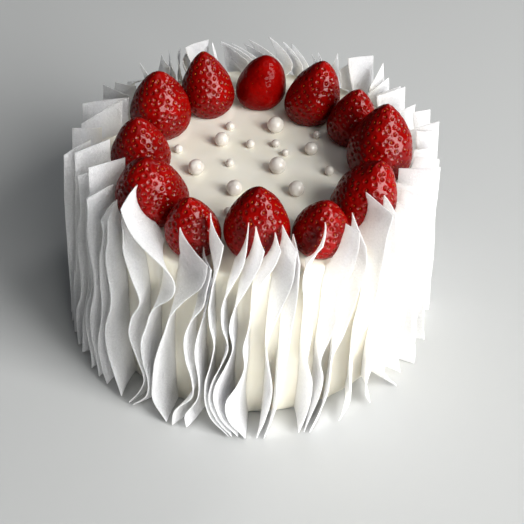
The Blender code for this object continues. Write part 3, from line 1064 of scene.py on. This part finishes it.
# The strips that stand for solids, from the left front round by the right and the back
STRIPS = (
    StripPlan(-151.0, -1.0, 118.0, 0.0, WaveEdge(1.0, 50.0, -1.0, 100.0, 0.0, -2.0), reach=-4.5),
    StripPlan(-144.0, -4.0, 108.0, 1.5, WaveEdge(1.4, 60.0, -2.0, 100.0, -1.0, 3.0)),
    StripPlan(-135.5, -5.5, 108.0, 1.5, WaveEdge(1.5, 62.0, 1.0, 95.0, -1.0, 6.0)),
    StripPlan(-124.8, -13.0, 109.0, 0.0, DrawnEdge((
        -127.0, -123.0, -121.0, -123.5, -126.5, -125.5, -122.5, -125.5, -128.5, -128.5, -131.0))),
    StripPlan(-120.3, -14.0, 119.0, 1.5, DrawnEdge((
        -125.5, -120.5, -119.5, -121.5, -122.0, -120.0, -117.5, -111.5, -112.5, -124.5, -129.5))),
    StripPlan(-115.0, 1.5, 106.0, 10.5, DrawnEdge((
        -112.5, -117.5, -118.0, -117.5, -116.0, -114.0, -112.0, -107.5, -101.5, -100.5, -101.0))),
    StripPlan(-106.8, 1.0, 104.0, 1.5, DrawnEdge((
        -111.5, -110.5, -105.5, -105.5, -107.5, -108.0, -106.0, -102.0, -101.0, -101.0, -101.0))),
    StripPlan(-100.5, -6.0, 118.0, 1.5, DrawnEdge((
        -94.0, -99.5, -101.5, -101.5, -100.0, -99.0, -100.5, -101.0, -100.0, -98.0, -97.0))),
    StripPlan(-96.6, 6.0, 117.0, 1.5, DrawnEdge((
        -93.0, -98.0, -100.5, -99.5, -97.0, -95.0, -97.0, -97.0, -94.5, -91.5, -90.5))),
    StripPlan(-93.2, 4.6, 116.0, 1.5, DrawnEdge((
        -91.0, -96.5, -99.0, -98.5, -96.0, -94.0, -95.0, -93.5, -90.0, -87.0, -85.5))),
    StripPlan(-89.0, 7.3, 116.0, -2.5, DrawnEdge((
        -89.5, -94.5, -95.5, -92.5, -90.5, -91.0, -89.5, -88.5, -87.0, -83.0, -81.0))),
    StripPlan(-84.0, 4.8, 115.0, 0.0, DrawnEdge((
        -86.5, -84.5, -83.0, -82.5, -83.5, -84.5, -83.0, -80.5, -78.0, -77.0, -77.0))),
    StripPlan(-79.8, 5.0, 108.0, 1.5, DrawnEdge((
        -84.5, -82.5, -81.0, -81.0, -79.0, -78.0, -77.5, -76.5, -76.0, -76.0, -75.5))),
    StripPlan(-72.2, 8.0, 115.0, 1.5, DrawnEdge((
        -74.5, -72.5, -71.0, -71.0, -72.5, -72.0, -71.5, -73.5, -75.0, -73.5, -67.0))),
    StripPlan(-66.5, 7.5, 117.0, -1.5, DrawnEdge((
        -73.0, -71.0, -68.5, -67.5, -68.5, -66.0, -64.0, -64.0, -60.0, -58.0, -58.0)), width=9.0),
    StripPlan(-59.5, 3.5, 107.0, 12.0, DrawnEdge((
        -71.0, -68.5, -66.0, -65.5, -65.0, -61.5, -59.0, -57.0, -55.0, -55.5, -55.5))),
    StripPlan(-50.0, 5.5, 117.0, 1.5, DrawnEdge((
        -62.5, -58.5, -58.5, -59.0, -58.5, -53.0, -50.5, -49.5, -48.5, -47.5, -45.0))),
    StripPlan(-42.5, 2.0, 116.5, 1.5, DrawnEdge((
        -49.5, -52.0, -51.0, -47.0, -45.0, -44.0, -45.0, -45.5, -43.0, -44.0, -45.0)),
        width=11.0, foot_reach=-1.0),
    StripPlan(-34.5, 5.0, 110.0, 1.5, WaveEdge(1.2, 45.0, 6.0, 100.0, 1.0, 0.5),
              reach=-1.5, foot_reach=-3.0),
    StripPlan(-23.5, 5.5, 112.5, -2.5, WaveEdge(1.0, 60.0, 8.0, 104.0, 0.5),
              width=18.5, reach=0.8, foot_reach=-3.0),
    StripPlan(-12.5, 6.0, 106.0, 1.0, WaveEdge(1.1, 48.0, 7.0, 100.0), reach=-0.5, foot_reach=-2.0),
    StripPlan(0.0, 6.0, 108.0, 2.0, WaveEdge(1.3, 66.0, 7.0, 102.0, 0.0, 1.0),
              width=11.0, reach=0.5, foot_reach=1.0),
    StripPlan(6.5, 3.0, 113.0, -7.0, WaveEdge(1.0, 50.0, 1.0, 100.0, 0.5),
              width=16.0, reach=1.5, foot_reach=0.5),
    StripPlan(12.0, 4.0, 111.0, 0.0, WaveEdge(1.2, 52.0, 3.5, 102.0, 0.5, 1.0), width=9.0, reach=1.0),
    StripPlan(25.5, 6.0, 109.0, 0.5, WaveEdge(1.1, 45.0, 6.0, 102.0, 0.5), width=18.0),
    StripPlan(33.5, 1.0, 107.0, 0.0, WaveEdge(1.0, 58.0, 0.0, 100.0, 0.5), width=14.5),
    StripPlan(38.0, 1.0, 107.0, -2.5, WaveEdge(1.2, 50.0, 1.5, 101.0, 0.5, 1.0), width=15.5),
    StripPlan(42.0, -1.5, 114.0, -8.0, WaveEdge(1.1, 66.0, 0.5, 100.0, 0.5), width=12.0),
    StripPlan(46.0, 6.0, 115.0, 3.0, WaveEdge(1.3, 56.0, 1.0, 104.0, 0.5), width=15.0),
    StripPlan(59.2, 0.0, 107.5, 1.0, WaveEdge(1.0, 50.0, 2.0, 100.0, 0.5), width=12.0),
    StripPlan(67.0, -5.0, 102.0, 0.0, WaveEdge(1.2, 58.0, 4.0, 98.0, 0.5)),
    StripPlan(75.0, -6.0, 107.0, -3.0, WaveEdge(1.3, 50.0, 4.5, 100.0, 2.0)),
    StripPlan(80.5, -7.0, 109.5, -4.0, WaveEdge(1.1, 56.0, 3.5, 100.0, 2.5)),
    StripPlan(87.5, -6.5, 104.5, -1.0, WaveEdge(1.2, 48.0, 6.0, 100.0, 2.0)),
    StripPlan(92.5, -7.0, 105.0, -3.0, WaveEdge(1.0, 60.0, 4.0, 99.0, 3.0)),
    StripPlan(98.5, -6.5, 106.0, -3.0, WaveEdge(1.2, 46.0, 3.0, 100.0, 2.0)),
    StripPlan(109.0, 16.0, 109.0, 10.0, WaveEdge(1.2, 52.0, -1.5, 104.0), width=18.0),
    StripPlan(122.0, 4.0, 107.0, 2.0, WaveEdge(1.1, 58.0, -4.0, 107.0, 0.5)),
    StripPlan(132.0, -1.5, 106.5, 4.0, WaveEdge(1.2, 50.0, -7.0, 106.0)),
    StripPlan(142.0, 2.0, 98.5, 12.0, WaveEdge(1.0, 56.0, -2.5, 100.0)),
    StripPlan(149.0, 0.0, 103.0, 7.0, WaveEdge(1.2, 48.0, -4.0, 103.0)),
    StripPlan(155.5, -2.0, 107.0, 0.5, WaveEdge(1.1, 60.0, -4.0, 107.0)),
    StripPlan(167.5, -6.0, 110.0, 5.0, WaveEdge(1.2, 52.0, -1.5, 104.0), width=23.0, reach=-0.5),
    StripPlan(174.5, -5.0, 107.5, 12.5, WaveEdge(1.2, 58.0, 0.0, 104.0), width=19.5, reach=-4.0),
    StripPlan(181.0, 0.0, 110.0, 2.0, WaveEdge(1.1, 46.0, -1.5, 104.0), width=14.5, reach=-1.0),
    StripPlan(193.5, 1.0, 113.0, 6.0, WaveEdge(1.2, 62.0, 1.5, 104.0), width=13.0, reach=2.5),
    StripPlan(198.5, 0.0, 116.5, 5.0, WaveEdge(1.2, 54.0, -0.5, 104.0), width=16.5, reach=-2.0),
)

# Further sheets, where the paper stands closer than the solids do
FURTHER = (
    BetweenPlan(1, 0.50, 0.50, 0.15, 58.0, 106.0, 1.0, 17.0, -1.5),
    BetweenPlan(2, 0.45, 0.55, 0.20, 40.0, 103.0, 2.0, 17.0, -1.0),
    BetweenPlan(7, 0.35, 0.55, 0.10, 30.0, 98.0, 0.0, 17.0, -1.0),
    BetweenPlan(18, 0.55, 0.50, 0.15, 50.0, 109.0, 1.0, 17.0, -1.5),
    BetweenPlan(19, 0.50, 0.45, 0.15, 62.0, 106.0, 2.0, 17.0, -1.5),
    BetweenPlan(20, 0.45, 0.55, 0.15, 44.0, 103.0, 0.0, 17.0, -1.5),
    BetweenPlan(21, 0.50, 0.50, 0.15, 56.0, 104.0, 1.0, 14.0, -1.5),
    BetweenPlan(24, 0.50, 0.40, 0.15, 48.0, 106.0, -2.0, 14.0, -1.0),
    BetweenPlan(29, 0.45, 0.35, 0.15, 60.0, 108.0, 1.0, 15.0, -1.0),
    BetweenPlan(30, 0.50, 0.55, 0.15, 52.0, 105.0, -2.0, 16.0, -1.0),
    BetweenPlan(31, 0.50, 0.60, 0.15, 46.0, 107.0, -4.0, 17.0, -1.0),
    BetweenPlan(33, 0.40, 0.60, 0.15, 58.0, 108.0, -4.0, 17.0, -1.0),
    BetweenPlan(35, 0.50, 0.60, 0.15, 50.0, 107.5, -4.0, 17.0, -1.0),
    BetweenPlan(36, 0.50, 0.60, 0.15, 64.0, 108.0, -3.0, 17.0, -1.0),
    BetweenPlan(37, 0.50, 0.50, 0.15, 42.0, 108.0, 2.0, 17.5, -0.5),
    BetweenPlan(38, 0.55, 0.45, 0.15, 54.0, 108.0, -3.0, 17.5, -0.5),
    BetweenPlan(39, 0.45, 0.50, 0.15, 60.0, 107.0, -4.0, 17.5, -0.5),
    BetweenPlan(42, 0.50, 0.55, 0.15, 48.0, 105.5, 3.0, 18.0, -1.0),
    BetweenPlan(45, 0.50, 0.50, 0.20, 56.0, 106.0, 2.0, 16.0, -1.0),
    BetweenPlan(47, 0.55, 0.45, 0.20, 40.0, 108.0, 2.0, 16.0, -2.0),
)


@dataclass
class PaperFrill:
    """The ring of upright wavy paper strips, placed as the solids are."""

    thickness: float = 0.45
    foot_radius: float = 97.0
    root_radius: float = 79.6
    lean_in: float = 8.5
    lean_height: float = 110.0
    wave_length: float = 52.0
    wave_fade_start: float = 84.0
    wave_fade_span: float = 20.0
    wave_fade: float = 0.6
    swing_start: float = 66.0
    root_start: float = 88.0
    root_follow: float = 0.15
    bend_power: float = 1.2
    turn_power: float = 1.3
    shortest_turn: float = 6.0
    flare_height: float = 26.0
    edge_step: float = 12.0
    end_margin: float = 0.001
    reach_height: float = 90.0
    rim_high: float = 98.0
    tilt_span: float = 16.0
    core_height: float = CAKE_HEIGHT
    clearance: float = 0.35
    least_gap: float = 1.25
    least_root_gap: float = 1.5
    rounds: int = 120
    berry_margin: float = 1.2
    sample_step: float = 3.0
    sample_count: int = 43
    seed: int = 11
    foot_range: tuple[float, float] = (0.6, 2.6)
    columns: int = 10
    rows: int = 76
    ripple: float = 0.35
    ripple_across: float = 1.5
    ripple_length: float = 14.0
    ripple_shift: float = 50.0
    ripple_draw: int = 900
    crease_angle: float = 40.0
    least_share: float = 0.27

    def outer_azimuth(self, plan: StripPlan, height: float) -> float:
        """Azimuth of the outer edge before its neighbours push it.

        Args:
            plan: the strip.
            height: the height on the edge.

        Returns:
            The azimuth in degrees.
        """
        edge = plan.edge
        if isinstance(edge, DrawnEdge):
            return self.smooth_edge(edge.azimuths, self.edge_step, height)
        phase = 2.0 * math.pi * (height - edge.crest) / self.wave_length
        fade = 1.0 - self.wave_fade * ease((height - self.wave_fade_start) / self.wave_fade_span)
        azimuth = plan.azimuth + edge.size * math.cos(phase) * fade
        azimuth += edge.swing * ease((height - self.swing_start) / (edge.swing_height - self.swing_start))
        if height > edge.swing_height:
            span = max(plan.head - edge.swing_height, self.shortest_turn)
            azimuth += edge.turn * ((height - edge.swing_height) / span) ** self.turn_power
        if height < self.flare_height:
            azimuth += edge.flare * (1.0 - height / self.flare_height) ** 2
        return azimuth

    def root_azimuth(self, plan: StripPlan, height: float) -> float:
        """Azimuth of the inner edge, which stays put below the rim."""
        rise = ease((height - self.root_start) / (plan.head - self.root_start))
        return plan.azimuth + plan.root_swing * rise

    def spread(self, edges: np.ndarray, least: float) -> np.ndarray:
        """Push neighbouring edges apart.

        Args:
            edges: azimuths, one row a strip and one column a height.
            least: the least angle between neighbours.

        Returns:
            The azimuths, nowhere closer than that.
        """
        for _ in range(self.rounds):
            following = np.roll(edges, -1, axis=0)
            following[-1] += 360.0
            push = 0.5 * np.maximum(0.0, least - (following - edges))
            edges = edges - push + np.roll(push, 1, axis=0)
            near = (push + np.roll(push, 1, axis=0)) > 0.0
            near[:, 1:] |= near[:, :-1].copy()
            near[:, :-1] |= near[:, 1:].copy()
            mean = edges.copy()
            mean[:, 1:-1] = (edges[:, :-2] + 2.0 * edges[:, 1:-1] + edges[:, 2:]) / 4.0
            edges = np.where(near, 0.5 * (edges + mean), edges)
        return edges

    def clear_radius(self, azimuth: float, height: float, berries: Sequence[Strawberry]) -> float:
        """Find how far from the axis a strip is clear of every strawberry.

        Args:
            azimuth: the strip's direction in degrees.
            height: the height in millimetres.
            berries: the strawberries.

        Returns:
            The least distance from the axis, or 0 where none is in the way.
        """
        across = (math.cos(math.radians(azimuth)), math.sin(math.radians(azimuth)))
        clear = 0.0
        for berry in berries:
            share = (height - self.core_height - self.clearance) / berry.size.height
            radius = berry.radius(share)
            if radius == 0.0:
                continue
            bend = share ** berry.lean_power
            x = berry.size.x + berry.size.lean_x * bend
            y = berry.size.y + berry.size.lean_y * bend
            along = x * across[0] + y * across[1]
            aside = x * across[1] - y * across[0]
            reach = radius + self.berry_margin
            if abs(aside) < reach and along > 0.0:
                clear = max(clear, along + math.sqrt(reach ** 2 - aside ** 2))
        return clear

    def smooth_edge(self, samples: Sequence[float], step: float, height: float) -> float:
        """Read an edge's azimuth along a smooth curve through its samples.

        Args:
            samples: azimuths from the foot up.
            step: height between two samples.
            height: the height to read at.

        Returns:
            The azimuth in degrees.
        """
        place = min(max(height / step, 0.0), len(samples) - 1 - self.end_margin)
        index = int(place)
        part = place - index
        before = samples[max(index - 1, 0)]
        here = samples[index]
        after = samples[index + 1]
        beyond = samples[min(index + 2, len(samples) - 1)]
        slope_here = (after - before) / 2.0
        slope_after = (beyond - here) / 2.0
        square = part * part
        cube = square * part
        return float(
            here * (2.0 * cube - 3.0 * square + 1.0) + slope_here * (cube - 2.0 * square + part)
            + after * (3.0 * square - 2.0 * cube) + slope_after * (cube - square))

    def place(self, plan: StripPlan | BetweenPlan, outer: float, root: float, height: float, drop: float,
              share: float, berries: Sequence[Strawberry]) -> tuple[float, float]:
        """Place a point of a strip.

        Args:
            plan: the strip.
            outer: azimuth of its outer edge at this height.
            root: azimuth of its inner edge at this height.
            height: the point's height on the outer edge.
            drop: how much lower the inner edge is there.
            share: the point's share of the width, from the frosting outwards.
            berries: the strawberries that the strip keeps clear of.

        Returns:
            The point's x and y in millimetres.
        """
        rise = ease(height / self.reach_height)
        stand = plan.foot_reach + (plan.reach - plan.foot_reach) * rise
        outer_radius = self.foot_radius + stand - self.lean_in * height / self.lean_height
        inner_edge = root + self.root_follow * (outer - root)
        if height <= self.core_height:
            inner_radius = self.root_radius
        else:
            free = max(outer_radius - plan.width, self.clear_radius(inner_edge, height - drop, berries))
            step = ease((height - self.core_height) / (self.rim_high - self.core_height))
            inner_radius = self.root_radius + (free - self.root_radius) * step
        bend = self.root_follow + (1.0 - self.root_follow) * share ** self.bend_power
        azimuth = math.radians(root + bend * (outer - root))
        radius = inner_radius + share * (outer_radius - inner_radius)
        return radius * math.cos(azimuth), radius * math.sin(azimuth)

    def between(self, plan: BetweenPlan, edges: np.ndarray, heights: np.ndarray, waving: bool) -> np.ndarray:
        """Lead an edge between those of two neighbouring strips.

        Args:
            plan: the sheet.
            edges: azimuths of all strips' edges.
            heights: where they were sampled.
            waving: whether the edge waves in the gap or keeps its middle.

        Returns:
            The edge's azimuths at the same heights.
        """
        low = edges[plan.after - 1]
        high = edges[plan.after] if plan.after < len(edges) else edges[0] + 360.0
        if not waving:
            return (low + high) / 2.0
        rise = np.array([ease(height / plan.head) for height in heights])
        share = plan.foot_share + (plan.head_share - plan.foot_share) * rise
        share = share + plan.wave * np.cos(2.0 * math.pi * (heights - plan.crest) / self.wave_length)
        return low + np.clip(share, self.least_share, 1.0 - self.least_share) * (high - low)

    def sheet(self, number: int, plan: StripPlan | BetweenPlan, foot: float, outer_edge: np.ndarray,
              root_edge: np.ndarray, berries: Sequence[Strawberry]) -> bpy.types.Object:
        """Model one sheet from a grid.

        Args:
            number: the sheet's number, from 1.
            plan: its form.
            foot: height of its lower end.
            outer_edge: sampled azimuths of its outer edge.
            root_edge: sampled azimuths of its inner edge.
            berries: the strawberries that it keeps clear of.

        Returns:
            The sheet, with its thickness.
        """
        deselect_all()
        bpy.ops.mesh.primitive_grid_add(x_subdivisions=self.columns, y_subdivisions=self.rows, size=2.0)
        piece = bpy.context.object
        rename(piece, f"paper_strip_{number:02d}")
        draw = random.Random(self.ripple_draw + number)
        shift = draw.uniform(0.0, self.ripple_shift)
        points = read_points(piece.data)
        across = (points[:, 0] + 1.0) / 2.0
        along = (points[:, 1] + 1.0) / 2.0
        for index in range(len(points)):
            share = float(across[index])
            height = foot + float(along[index]) * (plan.head - foot)
            outer = self.smooth_edge(outer_edge, self.sample_step, height)
            root = self.smooth_edge(root_edge, self.sample_step, height)
            tilt = plan.tilt * ease((height - plan.head + self.tilt_span) / self.tilt_span)
            x, y = self.place(plan, outer, root, height, max(-tilt, 0.0), share, berries)
            lift = tilt * (1.0 - share)
            spot = Vector((share * self.ripple_across, height / self.ripple_length, shift))
            wave = noise.noise(spot) * self.ripple * share
            angle = math.atan2(y, x) + math.pi / 2.0
            points[index] = (x + math.cos(angle) * wave, y + math.sin(angle) * wave, height + lift)
        write_points(piece.data, points * MM)
        write_attribute(piece.data, "across", across)
        solidify = piece.modifiers.new("Thickness", "SOLIDIFY")
        solidify.thickness = self.thickness * MM
        solidify.offset = 0.0
        apply_all(piece)
        make_active(piece)
        bpy.ops.object.shade_smooth_by_angle(angle=math.radians(self.crease_angle))
        return piece

    def build(self, berries: Sequence[Strawberry], material: bpy.types.Material) -> None:
        """Build the strips that stand for solids, and the further sheets between them.

        Args:
            berries: the strawberries that the strips keep clear of.
            material: the paper.
        """
        draw = random.Random(self.seed)
        heights = np.arange(self.sample_count) * self.sample_step
        outer = np.array([[self.outer_azimuth(plan, height) for height in heights] for plan in STRIPS])
        root = np.array([[self.root_azimuth(plan, height) for height in heights] for plan in STRIPS])
        outer = self.spread(outer, self.least_gap)
        root = self.spread(root, self.least_root_gap)
        for number, plan in enumerate(STRIPS, 1):
            foot = draw.uniform(*self.foot_range)
            piece = self.sheet(number, plan, foot, outer[number - 1], root[number - 1], berries)
            dress(piece, material)
            hand_over(piece, (f"wafer_strip_{number:02d}",))
        sheets = []
        for number, plan in enumerate(FURTHER, len(STRIPS) + 1):
            foot = draw.uniform(*self.foot_range)
            outer_edge = self.between(plan, outer, heights, True)
            root_edge = self.between(plan, root, heights, False)
            sheets.append(self.sheet(number, plan, foot, outer_edge, root_edge, berries))
        piece = join_all(sheets, "paper_strips_between")
        dress(piece, material)
        hand_over(piece)


@dataclass(frozen=True)
class Lamp:
    """A soft area light, in metres and watts."""

    name: str
    place: Place
    wide: float
    high: float
    power: float
    colour: Colour


LAMPS = (
    Lamp("window_side", (1.75, -1.22, 1.22), 1.2, 2.2, 110.0, (1.0, 1.0, 0.99)),
    Lamp("room_front", (0.78, -1.91, 0.50), 0.7, 0.7, 19.0, (1.0, 0.99, 0.96)),
    Lamp("window_back", (1.55, 1.45, 1.15), 0.6, 0.6, 9.0, (1.0, 1.0, 0.99)),
    Lamp("ceiling", (0.2, -0.4, 2.0), 1.5, 1.5, 5.0, (0.88, 0.94, 1.0)),
)


@dataclass
class Studio:
    """Floor, soft window light and camera."""

    floor_colour: Colour = (0.525, 0.53, 0.525)
    floor_roughness: float = 0.6
    floor_shine: float = 0.12
    floor_size: float = 8.0
    floor_drop: float = 0.0002
    room_colour: Colour = (0.80, 0.84, 0.90)
    room_strength: float = 0.035
    lamp_target: Place = (0.0, 0.0, 0.06)
    camera_place: Place = (0.0055, -0.42303, 0.42796)
    camera_target: Place = (0.0055, 0.0, 0.0268)
    camera_roll: float = 2.10
    focal_pixels: float = 1100.0
    frame_pixels: float = 524.0
    sensor: float = 36.0
    nearest: float = 0.01

    def floor(self) -> None:
        """Lay the plain pale floor."""
        deselect_all()
        bpy.ops.mesh.primitive_plane_add(size=self.floor_size, location=(0.0, 0.0, -self.floor_drop))
        plane = bpy.context.object
        plane.name = "studio_floor"
        material, _ = new_material(
            "studio_floor", Base_Color=(*self.floor_colour, 1.0), Roughness=self.floor_roughness,
            Specular_IOR_Level=self.floor_shine)
        dress(plane, material)

    def hang(self, lamp: Lamp) -> None:
        """Hang a light that faces the cake.

        Args:
            lamp: the light's place, size, power and colour.
        """
        light = bpy.data.lights.new(lamp.name, "AREA")
        light.shape = "RECTANGLE"
        light.size = lamp.wide
        light.size_y = lamp.high
        light.energy = lamp.power
        light.color = lamp.colour
        holder = new_object(lamp.name, light)
        holder.location = lamp.place
        aim = Vector(self.lamp_target) - Vector(lamp.place)
        holder.rotation_euler = aim.to_track_quat("-Z", "Y").to_euler()

    def camera(self) -> None:
        """Place the camera at the photograph's angle."""
        data = bpy.data.cameras.new("camera")
        data.sensor_width = self.sensor
        data.lens = self.focal_pixels / self.frame_pixels * self.sensor
        data.clip_start = self.nearest
        camera = new_object("camera", data)
        place = Vector(self.camera_place)
        ahead = (Vector(self.camera_target) - place).normalized()
        level = ahead.cross(Vector((0.0, 0.0, 1.0))).normalized()
        above = level.cross(ahead)
        roll = math.radians(self.camera_roll)
        right = level * math.cos(roll) + above * math.sin(roll)
        up = above * math.cos(roll) - level * math.sin(roll)
        turn = Matrix((right, up, -ahead)).transposed()
        camera.matrix_world = Matrix.Translation(place) @ turn.to_4x4()
        bpy.context.scene.camera = camera

    def room(self) -> None:
        """Fill the room with a weak even light."""
        world = bpy.data.worlds.new("room")
        world.use_nodes = True
        background = world.node_tree.nodes["Background"]
        set_inputs(background, Color=(*self.room_colour, 1.0), Strength=self.room_strength)
        bpy.context.scene.world = world

    def build(self) -> None:
        """Set up the whole studio."""
        self.floor()
        for lamp in LAMPS:
            self.hang(lamp)
        self.room()
        bpy.context.scene.view_settings.view_transform = "Standard"
        self.camera()


def main() -> None:
    """Build the cake's looks piece by piece and light it."""
    logging.basicConfig(level=logging.INFO, format="%(name)s: %(message)s")
    effects = Effects(mottle_group(), relief_group())
    FrostedCore().build(FROSTING.build(effects))
    PearlScatter().build(PEARL.build(effects))
    berries = [Strawberry(number, size) for number, size in enumerate(BERRIES, 1)]
    skin = BERRY.build(effects)
    seeds = []
    for berry in berries:
        seeds += berry.build(skin)
    SeedCoat().build(seeds, SEED.build(effects))
    PaperFrill().build(berries, WAFER.build(effects))
    Studio().build()


if __name__ == "__main__":
    main()
